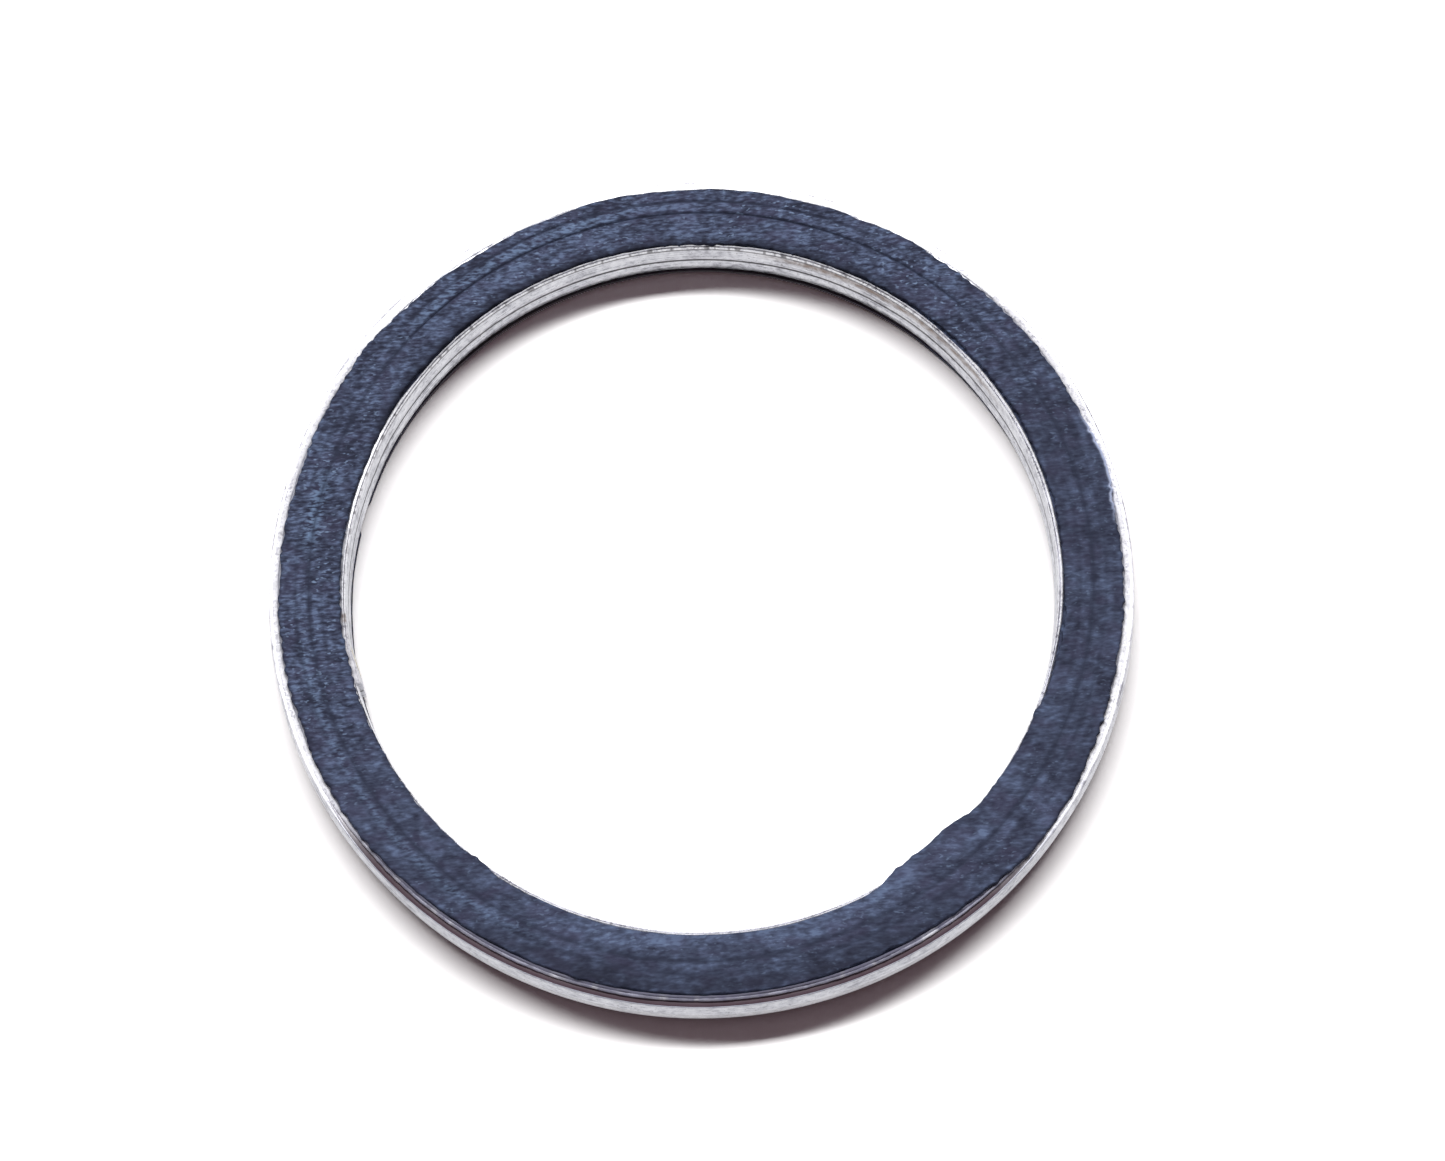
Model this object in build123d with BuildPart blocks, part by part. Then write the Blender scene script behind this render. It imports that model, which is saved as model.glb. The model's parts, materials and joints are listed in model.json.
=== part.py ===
from build123d import *
from math import cos, radians, sin
import os

# Exhaust ring gasket: a soft graphite filler, wound between a metal bore band
# and a metal outer band. Millimetres, +Z up, origin on the ring's axis at the
# resting face. Angles run anticlockwise from +X, seen from above.

# Bore, and how far the filler stands proud of the strip on each face
bore_diameter = 38.0
face_lip = 0.35

# Metal strip of both bands, with a fold pressed out of its middle
strip_thickness = 0.15
strip_width = 2.7
fold_width = 0.5
fold_depth = 0.12
bore_turns = 2
ledge_turns = 2

# Cleft that parts the last turn of the outer band from the ledge inside it:
# the turns touch at their middle and gape at their edges
cleft_width = 0.2
cleft_depth = 0.6

# Filler, its worn edges, and the seams between its turns
filler_width = 3.12
face_spread = 0.03
face_edge_chamfer = 0.12
seam_radius = 20.9
seam_pitch = 0.7
seam_width = 0.16
seam_depths = (0.12, 0.08)
winding_offset = 0.24

# Loose end of the bore strip: it stands proud, with a ramp behind it
bore_end_angle = 192.8
bore_end_flat = 2.5
bore_end_ramp = 6.1
bore_end_lift = 0.18

# Loose end of the outer strip, on the far side
outer_end_angle = 128.5
outer_end_flat = 8.0
outer_end_ramp = 14.0
outer_end_lift = 0.1

# Filler squeezed past the edge of the top face:
# start, peak and end angle, and how far the peak stands out
bore_lobes = ((222.5, 229.0, 233.5, 0.24), (288.0, 308.5, 317.0, 0.42))
outer_lobes = ((306.0, 315.0, 331.0, 0.3),)

# Sizes that follow
gasket_thickness = strip_width + 2 * face_lip
middle = gasket_thickness / 2
strip_low = face_lip
strip_high = face_lip + strip_width
bore_radius = bore_diameter / 2
filler_inside = bore_radius + bore_turns * strip_thickness
filler_outside = filler_inside + filler_width
filler_middle = filler_inside + filler_width / 2
face_inside = filler_inside - face_spread
face_outside = filler_outside + face_spread
ledge_radius = filler_outside + ledge_turns * strip_thickness
last_turn_inside = ledge_radius + cleft_width
rim_radius = last_turn_inside + strip_thickness


def folded(radius, low=strip_low):
    """The strip's surface in section, from its low edge to its high one."""
    return [
        (radius, low),
        (radius, middle - fold_width / 2),
        (radius + fold_depth, middle),
        (radius, middle + fold_width / 2),
        (radius, strip_high),
    ]


def on_circle(radius, angle):
    return (radius * cos(radians(angle)), radius * sin(radians(angle)))


def along_circle(angle):
    return (-sin(radians(angle)), cos(radians(angle)))


# Bore band: the strip wound round the bore
end_radius = bore_radius - bore_end_lift
end_ramp_start = bore_end_angle - bore_end_flat - bore_end_ramp
end_flat_start = bore_end_angle - bore_end_flat
fold_radius = bore_radius + fold_depth
wall_core = (fold_radius + filler_inside) / 2

with BuildPart() as bore_band:
    with BuildSketch(Plane.XZ) as bore_section:
        with BuildLine():
            Polyline(*folded(bore_radius), *reversed(folded(filler_inside)), close=True)
        make_face()
    revolve(axis=Axis.Z)
    # the loose end, drawn from above: ramp, flat and square end
    with BuildSketch(Plane.XY.offset(strip_low)) as bore_end:
        with BuildLine():
            Spline(
                on_circle(fold_radius, end_ramp_start),
                on_circle(end_radius, end_flat_start),
                tangents=(along_circle(end_ramp_start), along_circle(end_flat_start)),
            )
            RadiusArc(
                on_circle(end_radius, end_flat_start),
                on_circle(end_radius, bore_end_angle),
                -end_radius,
            )
            Line(on_circle(end_radius, bore_end_angle), on_circle(wall_core, bore_end_angle))
            RadiusArc(
                on_circle(wall_core, bore_end_angle),
                on_circle(wall_core, end_ramp_start),
                wall_core,
            )
            Line(on_circle(wall_core, end_ramp_start), on_circle(fold_radius, end_ramp_start))
        make_face()
    extrude(amount=strip_width)
    # the same fold, pressed into the loose end
    with BuildSketch(Plane.XZ) as end_hollow:
        with BuildLine():
            Polyline(
                *folded(end_radius),
                (end_radius - strip_thickness, strip_high),
                (end_radius - strip_thickness, strip_low),
                close=True,
            )
        make_face()
    revolve(axis=Axis.Z, mode=Mode.SUBTRACT)

bore_band.part.label = "bore_band"

# Outer band: turns whose edges make a ledge, then a last turn behind a cleft
cleft_foot = ledge_radius + cleft_width / 2
outer_end_radius = rim_radius + outer_end_lift
outer_end_ridge = outer_end_radius + fold_depth
outer_flat_end = outer_end_angle + outer_end_flat
outer_ramp_end = outer_flat_end + outer_end_ramp
last_turn_core = last_turn_inside + strip_thickness / 2

with BuildPart() as outer_band:
    with BuildSketch(Plane.XZ) as outer_section:
        with BuildLine():
            Polyline(
                *folded(filler_outside),
                (ledge_radius, strip_high),
                (cleft_foot, strip_high - cleft_depth),
                (last_turn_inside, strip_high),
                *reversed(folded(rim_radius)),
                (last_turn_inside, strip_low),
                (cleft_foot, strip_low + cleft_depth),
                (ledge_radius, strip_low),
                close=True,
            )
        make_face()
    revolve(axis=Axis.Z)
    # the loose end laid on the last turn, drawn from above: square end, flat and ramp
    with BuildSketch(Plane.XY.offset(strip_low)) as outer_end:
        with BuildLine():
            Line(on_circle(last_turn_core, outer_end_angle), on_circle(outer_end_ridge, outer_end_angle))
            RadiusArc(
                on_circle(outer_end_ridge, outer_end_angle),
                on_circle(outer_end_ridge, outer_flat_end),
                -outer_end_ridge,
            )
            Spline(
                on_circle(outer_end_ridge, outer_flat_end),
                on_circle(rim_radius, outer_ramp_end),
                tangents=(along_circle(outer_flat_end), along_circle(outer_ramp_end)),
            )
            Line(on_circle(rim_radius, outer_ramp_end), on_circle(last_turn_core, outer_ramp_end))
            RadiusArc(
                on_circle(last_turn_core, outer_ramp_end),
                on_circle(last_turn_core, outer_end_angle),
                last_turn_core,
            )
        make_face()
    extrude(amount=strip_width)
    # trims the loose end to the strip's fold
    with BuildSketch(Plane.XZ) as end_trim:
        with BuildLine():
            Polyline(
                *folded(outer_end_radius),
                (outer_end_ridge + strip_thickness, strip_high),
                (outer_end_ridge + strip_thickness, strip_low),
                close=True,
            )
        make_face()
    revolve(axis=Axis.Z, mode=Mode.SUBTRACT)

outer_band.part.label = "outer_band"


# Filler: one roll of soft strip that fills the bands and stands proud on both faces
squeezed = ((face_inside, -1, bore_lobes), (face_outside, 1, outer_lobes))

with BuildPart() as filler:
    with BuildSketch(Plane.XZ) as filler_section:
        with BuildLine():
            Polyline(*folded(filler_inside, low=0), *reversed(folded(filler_outside, low=0)), close=True)
        make_face()
    revolve(axis=Axis.Z)
    # the top face, spread a little over the strip's edges, and further at its bulges
    with BuildSketch(Plane.XY.offset(strip_high)) as upper_face:
        Circle(face_outside)
        Circle(face_inside, mode=Mode.SUBTRACT)
        for edge_radius, outward, lobes in squeezed:
            for start, peak, end, reach in lobes:
                with BuildLine():
                    Spline(
                        on_circle(edge_radius, start),
                        on_circle(edge_radius + outward * reach, peak),
                        on_circle(edge_radius, end),
                        tangents=(along_circle(start), along_circle(end)),
                    )
                    Line(on_circle(edge_radius, end), on_circle(filler_middle, end))
                    RadiusArc(on_circle(filler_middle, end), on_circle(filler_middle, start), filler_middle)
                    Line(on_circle(filler_middle, start), on_circle(edge_radius, start))
                make_face()
    extrude(amount=face_lip)
    rims = filler.edges().filter_by(GeomType.LINE, reverse=True)
    top_rims = rims.group_by(Axis.Z)[-1]
    under_rims = rims.group_by(Axis.Z)[0]
    chamfer(top_rims + under_rims, length=face_edge_chamfer)
    # seams between the turns, a little off centre as they were wound
    winding_plane = Plane(origin=(0, winding_offset, 0), x_dir=(1, 0, 0), z_dir=(0, -1, 0))
    with BuildSketch(winding_plane) as seams:
        for place, depth in enumerate(seam_depths):
            radius = seam_radius + place * seam_pitch
            for face, inward in ((gasket_thickness, -1), (0, 1)):
                with BuildLine():
                    Polyline(
                        (radius - seam_width / 2, face),
                        (radius + seam_width / 2, face),
                        (radius, face + inward * depth),
                        close=True,
                    )
                make_face()
    revolve(axis=Axis((0, winding_offset, 0), (0, 0, 1)), mode=Mode.SUBTRACT)

filler.part.label = "filler"

os.makedirs("parts", exist_ok=True)
for piece in (bore_band, outer_band, filler):
    print(piece.part.label, "volume", round(piece.part.volume, 3), "solids", len(piece.part.solids()))
export_step(bore_band.part, "parts/bore_band.step")
export_step(outer_band.part, "parts/outer_band.step")
export_step(filler.part, "parts/filler.step")
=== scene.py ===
# %% [markdown]
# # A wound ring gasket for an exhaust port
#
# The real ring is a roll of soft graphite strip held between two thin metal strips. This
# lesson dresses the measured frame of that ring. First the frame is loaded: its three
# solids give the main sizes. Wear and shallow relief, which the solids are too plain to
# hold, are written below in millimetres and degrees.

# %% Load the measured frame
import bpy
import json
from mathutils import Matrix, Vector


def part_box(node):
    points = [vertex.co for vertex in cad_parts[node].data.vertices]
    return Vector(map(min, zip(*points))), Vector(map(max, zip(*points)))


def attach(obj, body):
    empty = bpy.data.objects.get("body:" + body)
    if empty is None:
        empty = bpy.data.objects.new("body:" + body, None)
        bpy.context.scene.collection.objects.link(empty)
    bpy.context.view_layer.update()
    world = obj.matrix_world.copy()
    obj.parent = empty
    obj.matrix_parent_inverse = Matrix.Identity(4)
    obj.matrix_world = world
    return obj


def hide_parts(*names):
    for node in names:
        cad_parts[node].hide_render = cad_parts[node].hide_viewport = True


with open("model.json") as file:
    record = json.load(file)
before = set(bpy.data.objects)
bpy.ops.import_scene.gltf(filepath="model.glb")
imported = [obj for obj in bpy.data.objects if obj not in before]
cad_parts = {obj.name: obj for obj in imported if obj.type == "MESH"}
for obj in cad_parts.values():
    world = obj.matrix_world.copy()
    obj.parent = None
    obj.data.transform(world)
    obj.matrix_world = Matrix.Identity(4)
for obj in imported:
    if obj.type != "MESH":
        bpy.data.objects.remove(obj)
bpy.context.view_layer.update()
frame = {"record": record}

# %% Tools of this lesson
import json
import math

import bpy
import numpy as np
from mathutils import Matrix, Vector

# %% [markdown]
# ## Sizes
#
# Blender works in metres, and a gasket is thought of in millimetres, so `mm` is a unit to
# multiply by. The radii of the bore and of the rim are the ring's two mounts. The other
# sizes are differences between the boxes of the solids: the strip is as high as the bore
# band's box, and the fold in it stands out as far as the rim's box passes the rim's radius.

# %% Read the sizes from the frame
mm = 0.001
mounts = {mount["name"]: mount for mount in frame["record"]["mounts"]}
bore_radius = mounts["bore"]["dims"]["r_mm"] * mm
rim_radius = mounts["port_seat"]["dims"]["r_mm"] * mm
strip_low, strip_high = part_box("bore_band")[0][2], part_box("bore_band")[1][2]
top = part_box("filler")[1][2]
middle = top / 2
fold_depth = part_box("outer_band")[1][0] - rim_radius
fold_half = 0.25 * mm  # half of the fold's width
filler_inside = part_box("bore_band")[1][0] - fold_depth
filler_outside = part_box("filler")[1][0] - fold_depth
strip_thickness = (filler_inside - bore_radius) / 2
ledge_outside = filler_outside + 2 * strip_thickness
last_inside = rim_radius - strip_thickness
sizes = {"bore": bore_radius, "rim": rim_radius, "strip": strip_thickness, "fold": fold_depth,
         "filler from": filler_inside, "filler to": filler_outside, "top": top}
print({name: round(size / mm, 3) for name, size in sizes.items()})

# %% [markdown]
# ## Camera
#
# The picture is taken from almost overhead, from close by, with the head tipped a little.
# A camera could be placed by eye until the ring fits. Here its place was worked out from
# the ring's own circles instead, because their ellipses give the height of the eye and the
# distance, and the camera is then built from a distance, a height and a roll.

# %% Camera
image_width = 1445
camera_distance = 224.5 * mm
camera_height = math.radians(72.407)
camera_roll = math.radians(4.224)
focal_pixels = 4215.4
ring_left_of_centre = 22.2
sensor_width = 36
nearest_seen = 10 * mm


def place_camera():
    """A camera that looks at the middle of the ring's top face, with its head tipped."""
    eye = bpy.data.objects.new("camera", bpy.data.cameras.new("camera"))
    bpy.context.scene.collection.objects.link(eye)
    right = Vector((1, 0, 0))
    up = Vector((0, math.sin(camera_height), math.cos(camera_height)))
    back = Vector((0, -math.cos(camera_height), math.sin(camera_height)))
    tipped_right = math.cos(camera_roll) * right - math.sin(camera_roll) * up
    tipped_up = math.sin(camera_roll) * right + math.cos(camera_roll) * up
    turn = Matrix((tipped_right, tipped_up, back)).transposed()
    eye.matrix_world = Matrix.Translation(Vector((0, 0, top)) + camera_distance * back) @ turn.to_4x4()
    eye.data.sensor_width = sensor_width
    eye.data.lens = focal_pixels * sensor_width / image_width
    eye.data.shift_x = ring_left_of_centre / image_width
    eye.data.clip_start = nearest_seen
    eye.data.dof.use_dof = False
    bpy.context.scene.camera = eye
    print("camera lens", round(eye.data.lens, 2), "mm, at", [round(x, 4) for x in eye.location])


place_camera()

# %% [markdown]
# ## Shader helpers
#
# Materials here are made of many small nodes. A helper that adds one node, fills its
# sockets and joins its wires keeps each recipe short enough to read. Colours are noted the
# way a paint chart shows them, from 0 to 255, and turned into the linear values that the
# renderer works with.


# %% Helpers for node trees
def tone(red, green, blue):
    """A colour from a paint chart, 0 to 255, as the renderer's linear value."""
    share = [value / 255 for value in (red, green, blue)]
    return [v / 12.92 if v <= 0.04045 else ((v + 0.055) / 1.055) ** 2.4 for v in share] + [1.0]


def add(tree, kind, sockets=None, **settings):
    """Adds a node, with its settings, and with values or wires for its sockets."""
    made = tree.nodes.new(kind)
    for setting, value in settings.items():
        setattr(made, setting, value)
    for socket, value in (sockets or {}).items():
        if isinstance(value, bpy.types.NodeSocket):
            tree.links.new(value, made.inputs[socket])
        else:
            made.inputs[socket].default_value = value
    return made


def math_of(tree, operation, first, second=0.0):
    return add(tree, "ShaderNodeMath", {0: first, 1: second}, operation=operation).outputs[0]


def times(tree, first, second):
    return math_of(tree, "MULTIPLY", first, second)


def mixture(tree, *parts):
    """Adds up values, each with its share."""
    total = times(tree, *parts[0])
    for value, share in parts[1:]:
        total = math_of(tree, "ADD", total, times(tree, value, share))
    return total


def spread(tree, value, low, high, start=0.0, end=1.0):
    """Turns the part of a value between low and high into start to end."""
    sockets = {"Value": value, "From Min": low, "From Max": high, "To Min": start, "To Max": end}
    return add(tree, "ShaderNodeMapRange", sockets).outputs["Result"]


def blend(tree, factor, below, above):
    """Lays one colour over another by a factor."""
    return add(tree, "ShaderNodeMix", {0: factor, 6: below, 7: above}, data_type="RGBA").outputs[2]


def ladder(tree, value, steps):
    """A row of colours from dark to light, picked by a value from 0 to 1."""
    made = add(tree, "ShaderNodeValToRGB", {"Fac": value})
    stops = made.color_ramp.elements
    while len(stops) < len(steps):
        stops.new(0.5)
    for stop, (place, colour) in zip(stops, steps):
        stop.position = place
        stop.color = tone(*colour)
    return made.outputs["Color"]


def blots(tree, place, scale, detail=2.0, rough=0.5):
    """Soft random blots over a surface, about 0.3 to 0.7. A scale of three numbers stretches them."""
    if isinstance(scale, tuple):
        place = add(tree, "ShaderNodeMapping", {"Vector": place, "Scale": scale}).outputs["Vector"]
        scale = 1.0
    sockets = {"Vector": place, "Scale": scale, "Detail": detail, "Roughness": rough}
    return add(tree, "ShaderNodeTexNoise", sockets).outputs["Fac"]


def painted(tree, name):
    """A value that was laid on the mesh itself, point by point."""
    return add(tree, "ShaderNodeAttribute", attribute_name=name).outputs["Fac"]


def new_tree(name):
    material = bpy.data.materials.new(name)
    material.use_nodes = True
    material.node_tree.nodes.clear()
    return material, material.node_tree


# %% [markdown]
# ## Floor, room and lamp
#
# The ring lies on a white table, which only has to catch the shadow. Seen directly, its
# paper is paler than real paper, so that it is white wherever the lamp reaches it; seen in
# the metal it is plain white. The shadow is dark and sharp behind and in front of the ring
# and fades at its left and right, so the lamp is a long strip that runs from left to right,
# high up and a little behind. A dim pinkish room fills the shade.

# %% Floor, room and lamp
lamp_distance = 2.0
lamp_tilt = math.radians(26.0)
lamp_turn = math.radians(4.0)
lamp_length, lamp_breadth = 2.1, 0.32
lamp_power = 46.0
room_strength = 0.06
room_tint = tone(255, 210, 222)
paper_white = [0.75, 0.75, 0.75, 1]
paper_seen = [1.65, 1.65, 1.65, 1]
white = [1, 1, 1, 1]
table_half = 1.5


def white_to_the_eye(tree):
    """Two values: whether the eye looks straight at a surface, and whether it sees it in
    metal. The second leaves out light that went by the table first."""
    path = add(tree, "ShaderNodeLightPath")
    mirrored = math_of(tree, "MAXIMUM", path.outputs["Is Glossy Ray"], path.outputs["Is Transmission Ray"])
    from_eye = math_of(tree, "LESS_THAN", path.outputs["Diffuse Depth"], 0.5)
    return path.outputs["Is Camera Ray"], times(tree, mirrored, from_eye)


def lay_table():
    mesh = bpy.data.meshes.new("table")
    corners = [(table_half * x, table_half * y, 0) for x, y in ((-1, -1), (1, -1), (1, 1), (-1, 1))]
    mesh.from_pydata(corners, [], [(0, 1, 2, 3)])
    table = bpy.data.objects.new("table", mesh)
    bpy.context.scene.collection.objects.link(table)
    material, tree = new_tree("white_table")
    seen, mirrored = white_to_the_eye(tree)
    paper = add(tree, "ShaderNodeBsdfDiffuse", {"Color": blend(tree, seen, paper_white, paper_seen)})
    glow = add(tree, "ShaderNodeEmission", {"Color": white, "Strength": 1.0})
    both = add(tree, "ShaderNodeMixShader", {0: mirrored, 1: paper.outputs[0], 2: glow.outputs[0]})
    add(tree, "ShaderNodeOutputMaterial", {"Surface": both.outputs[0]})
    mesh.materials.append(material)


def light_room():
    world = bpy.data.worlds.new("room")
    bpy.context.scene.world = world
    world.use_nodes = True
    tree = world.node_tree
    tree.nodes.clear()
    seen, mirrored = white_to_the_eye(tree)
    dim = add(tree, "ShaderNodeBackground", {"Color": room_tint, "Strength": room_strength})
    bright = add(tree, "ShaderNodeBackground", {"Color": white, "Strength": 1.0})
    either = math_of(tree, "MAXIMUM", seen, mirrored)
    both = add(tree, "ShaderNodeMixShader", {0: either, 1: dim.outputs[0], 2: bright.outputs[0]})
    add(tree, "ShaderNodeOutputWorld", {"Surface": both.outputs[0]})


def hang_lamp():
    light = bpy.data.lights.new("lamp", "AREA")
    light.shape = "RECTANGLE"
    light.size, light.size_y = lamp_length, lamp_breadth
    light.energy = lamp_power
    lamp = bpy.data.objects.new("lamp", light)
    bpy.context.scene.collection.objects.link(lamp)
    back = math.sin(lamp_tilt)
    toward = Vector((-back * math.sin(lamp_turn), back * math.cos(lamp_turn), math.cos(lamp_tilt)))
    lamp.location = toward * lamp_distance
    lamp.rotation_mode = "QUATERNION"
    lamp.rotation_quaternion = (-toward).to_track_quat("-Z", "Y")


lay_table()
light_room()
hang_lamp()
bpy.context.scene.view_settings.view_transform = "Standard"
print("lamp", lamp_power, "watts, room", room_strength)

# %% [markdown]
# ## Turning a section round the ring
#
# Each piece of the gasket is one section carried round an axis, but a worn one: its edges
# wander, and a loose end steps out of it. A Screw modifier would carry the same section all
# the way. So the section is worked out anew at every quarter of a degree or closer, as
# rows of radius and height, and neighbouring rows are joined into quads. Edges sharper
# than `crisp_angle` stay crisp, and all others are shaded smooth.

# %% Turn a section round the axis
crisp_angle = math.radians(55)


def turned_ring(name, degrees, radius, height, paint):
    """One closed ring from a section at each angle. The section runs up the bore side,
    outward over the top and down the outside; paint is values for its points."""
    turns, points = radius.shape
    angle = np.radians(degrees)[:, None]
    places = np.stack([radius * np.cos(angle), radius * np.sin(angle), height], axis=-1)
    here = np.arange(turns)[:, None] * points + np.arange(points)[None, :]
    ahead = np.roll(here, -1, axis=0)
    quads = np.stack([here, np.roll(here, -1, axis=1), np.roll(ahead, -1, axis=1), ahead], axis=-1)
    mesh = bpy.data.meshes.new(name)
    mesh.from_pydata(places.reshape(-1, 3), [], quads.reshape(-1, 4))
    mesh.validate()
    mesh.shade_smooth()
    mesh.set_sharp_from_angle(angle=crisp_angle)
    for label, values in paint.items():
        layer = mesh.attributes.new(label, "FLOAT", "POINT")
        layer.data.foreach_set("value", np.broadcast_to(values, radius.shape).astype(np.float32).ravel())
    ring = bpy.data.objects.new(name, mesh)
    bpy.context.scene.collection.objects.link(ring)
    low, high = places.min(axis=(0, 1)) / mm, places.max(axis=(0, 1)) / mm
    print(name, "faces", len(mesh.polygons), "mm", np.round(low, 3), np.round(high, 3))
    return ring


# %% [markdown]
# ## Wear that goes round
#
# Nothing on a wound and pressed ring is even, yet it has to close on itself. `wander` is a
# random curve whose last value meets its first. `swell` is a single hump between two
# angles, `stretch` a longer one with a flat top, and `grain` is random relief over a plane.
# All of them start from a fixed seed, so that the ring is the same each time it is made.


# %% Curves for wear
def smooth(value):
    """0 below 0, 1 above 1, and an S-shaped rise between them."""
    value = np.clip(value, 0, 1)
    return value * value * (3 - 2 * value)


def wander(degrees, lumps, seed):
    """A random curve from -1 to 1 round the ring, with so many lumps in one turn."""
    knots = np.random.default_rng(seed).uniform(-1, 1, lumps)
    place = np.mod(degrees / 360, 1) * lumps
    left = np.floor(place).astype(int)
    share = smooth(place - left)
    return knots[left % lumps] * (1 - share) + knots[(left + 1) % lumps] * share


def swell(degrees, start, peak, end):
    """A hump round the ring: 0 at its start and end, 1 at its peak."""
    along = np.mod(degrees - start, 360)
    return smooth(along / (peak - start)) * smooth((end - start - along) / (end - peak))


def stretch(degrees, start, end, soft):
    """1 from start to end, with flanks that are so many degrees long."""
    along = np.mod(degrees - start, 360)
    return smooth(along / soft) * smooth((end - start - along) / soft)


def grain(across, along, seed):
    """Random relief from -1 to 1 over a plane, with lumps one unit wide."""
    size = 256
    table = np.random.default_rng(seed).uniform(-1, 1, (size, size))
    column, row = np.floor(across).astype(int), np.floor(along).astype(int)
    right, ahead = smooth(across - column), smooth(along - row)

    def corner(step_right, step_ahead):
        return table[(column + step_right) % size, (row + step_ahead) % size]

    near = corner(0, 0) * (1 - right) + corner(1, 0) * right
    far = corner(0, 1) * (1 - right) + corner(1, 1) * right
    return near * (1 - ahead) + far * ahead


# %% [markdown]
# ## The graphite roll
#
# The dark ring is graphite foil strip, wound in a few turns and pressed flat. Its fibres
# all lie one way, from left to right, so its edges are furry where the fibres end at them
# and clean where they run along. Pressing squeezed it out in tongues past both bands, and
# at the back it drew back from the bore. One could displace a plain ring with a texture,
# but then the seams would be cut across the mesh's own lines. Here lines of the mesh
# follow the seams and edges, which keeps the grooves crisp with few faces.

# %% Edges of the roll's top face
roll_columns = 1440
degrees = np.arange(roll_columns) * 360 / roll_columns
inner_tongues = ((223.0, 229.5, 233.5, 0.26), (288.0, 309.0, 317.5, 0.38), (294.0, 301.0, 309.0, 0.10))
outer_tongues = ((4.0, 12.0, 21.0, 0.20), (131.0, 141.0, 156.0, 0.13), (204.0, 214.0, 224.0, 0.08),
                 (245.0, 252.0, 259.0, 0.10), (305.0, 316.0, 331.0, 0.30), (318.0, 331.0, 344.0, 0.17))
outer_hollows = ((112.0, 119.0, 127.0, 0.10), (168.0, 188.0, 206.0, 0.07))
bore_bared = (-28.0, 156.0, 18.0)
drawn_back = 0.14 * mm
fibre_width = 0.2 * mm
right_relief, left_relief, first_relief_row = 40.0, 90.0, 300


def fibre_ends(radius, seed):
    """How far the fibres end short of an edge or past it: they lie along X, so the
    pattern follows Y, and it fades where the edge runs along them."""
    to_the_right = np.cos(np.radians(degrees))
    y = radius * np.sin(np.radians(degrees)) / fibre_width
    side = np.where(to_the_right > 0, right_relief, left_relief)
    return grain(side, y + first_relief_row, seed) * np.abs(to_the_right)


def tongues(entries):
    """Humps of an edge: where each starts, peaks and ends, and how far it stands out."""
    return sum(reach * mm * swell(degrees, start, peak, end) for start, peak, end, reach in entries)


def shifts(entries):
    """Long stretches of an edge that lie off its circle: start, end, flank and how far."""
    return sum(reach * mm * stretch(degrees, start, end, soft) for start, end, soft, reach in entries)


inner_shifts = ((54.0, 126.0, 8.0, -0.07), (78.0, 104.0, 6.0, -0.05),
                (182.0, 228.0, 4.0, -0.12), (294.0, 337.0, 4.0, -0.17))
outer_shifts = ((50.0, 70.0, 5.0, 0.06), (72.0, 108.0, 7.0, 0.10), (133.0, 145.0, 4.0, 0.06),
                (176.0, 214.0, 6.0, 0.08), (230.0, 304.0, 14.0, -0.11), (316.0, 328.0, 4.0, 0.08))
squeezed = np.minimum(tongues(inner_tongues) / (0.2 * mm), 1)
comb_shows = stretch(degrees, 50, 130, 12)
inner_edge = (
    filler_inside
    - 0.02 * mm
    + drawn_back * stretch(degrees, *bore_bared)
    + shifts(inner_shifts)
    - tongues(inner_tongues)
    + 0.03 * mm * wander(degrees, 70, 11)
    + 0.02 * mm * wander(degrees, 330, 12) * (1 + 1.5 * squeezed)
    + 0.05 * mm * wander(degrees, 620, 28) * comb_shows
    + 0.06 * mm * fibre_ends(filler_inside, 13)
)
outer_edge = (
    filler_outside
    + 0.05 * mm
    + shifts(outer_shifts)
    + tongues(outer_tongues)
    - tongues(outer_hollows)
    + 0.05 * mm * wander(degrees, 64, 14)
    + 0.03 * mm * wander(degrees, 260, 15)
    + 0.08 * mm * fibre_ends(filler_outside, 16)
)
print("face from", round(inner_edge.min() / mm, 2), "to", round(outer_edge.max() / mm, 2))

# %% [markdown]
# The main seam is open and thin at the back of the ring and pressed shut elsewhere, where
# it is only a broad soft dip. The seam outside it shows round the back, and a third, inside
# it, comes and goes. So each seam has its own width and depth at every angle.

# %% Seams at each angle
seam_radius = 20.91 * mm
winding_offset = 0.24 * mm
outer_seam_pitch, inner_seam_pitch = 0.7 * mm, 0.68 * mm
seam_line = (
    seam_radius
    + winding_offset * np.sin(np.radians(degrees))
    + 0.035 * mm * wander(degrees, 11, 17)
    - 0.08 * mm * swell(degrees, 272.0, 291.0, 312.0)
)
outer_seam = seam_line + outer_seam_pitch + 0.03 * mm * wander(degrees, 13, 18)
inner_seam = seam_line - inner_seam_pitch + 0.04 * mm * wander(degrees, 9, 19)
back = stretch(degrees, 32.0, 148.0, 22.0)
far_back = stretch(degrees, 52.0, 142.0, 20.0)
seam_half = (0.21 - 0.09 * back) * mm
seam_depth = (0.04 + 0.05 * back + 0.015 * wander(degrees, 40, 21)) * mm
outer_half = (0.18 - 0.06 * far_back) * mm
outer_seam_shows = 0.5 + 0.3 * far_back + 0.2 * wander(degrees, 30, 20)
outer_seam_depth = (0.02 + 0.04 * far_back) * mm * (1 + 0.3 * wander(degrees, 50, 22))
inner_half = np.full(roll_columns, 0.14 * mm)
inner_seam_shows = np.clip(0.25 + 0.6 * wander(degrees, 16, 23), 0, 1)
inner_seam_depth = 0.03 * mm * inner_seam_shows
print("main seam from", round(seam_line.min() / mm, 2), "to", round(seam_line.max() / mm, 2))


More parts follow.
